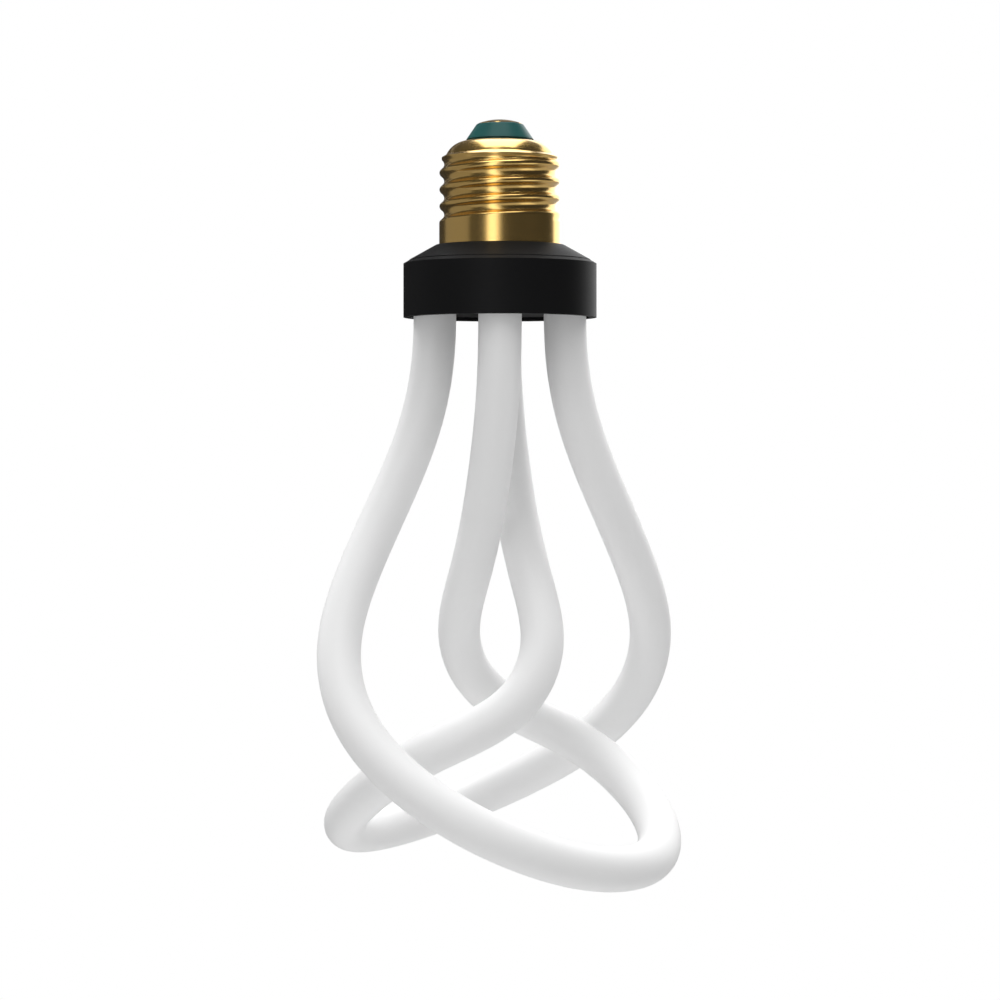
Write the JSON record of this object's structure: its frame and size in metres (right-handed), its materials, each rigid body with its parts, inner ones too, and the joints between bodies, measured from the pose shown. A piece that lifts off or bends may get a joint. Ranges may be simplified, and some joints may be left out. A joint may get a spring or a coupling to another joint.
{
  "type": "designer LED bulb",
  "caption": "Designer LED bulb with interlocked winding opal tubes that hang from a black moulded collar under a brass screw cap.",
  "frame": {"origin": "on the cap's axis at the seat, the plane where the screw shell stands on the collar", "axes": "+Z along the cap's axis, up from the seat to the centre contact; the tubes hang below; +X is right and +Y away in the picture"},
  "size_m": [0.077, 0.0952, 0.1621],
  "materials": {
    "cap_brass": "bright drawn sheet brass",
    "contact_brass": "bright pressed brass",
    "insulator": "dark teal, glossy",
    "collar": "black moulding with a fine satin grain",
    "opal": "white opal, smooth",
    "board": "green solder mask",
    "bare_wire": "tinned wire",
    "can_sleeve": "shrunk film sleeve",
    "component": "dark moulding compound",
    "resistor": "grey-green coating",
    "wire_sleeve": "white wire insulation"
  },
  "bodies": {
    "root": {"screw_shell": "cap_brass", "cap_insulator": "insulator", "contact_button": "contact_brass", "collar_cover": "collar", "collar_cup": "collar", "front_tube": "opal", "rear_tube": "opal", "driver_board": "board", "tube_leads": "bare_wire", "filter_capacitor": "can_sleeve", "choke": "component", "fuse_resistor": "resistor", "driver_chip": "component", "rectifier": "component", "centre_lead": "wire_sleeve", "shell_lead": "wire_sleeve"}
  },
  "joints": []
}
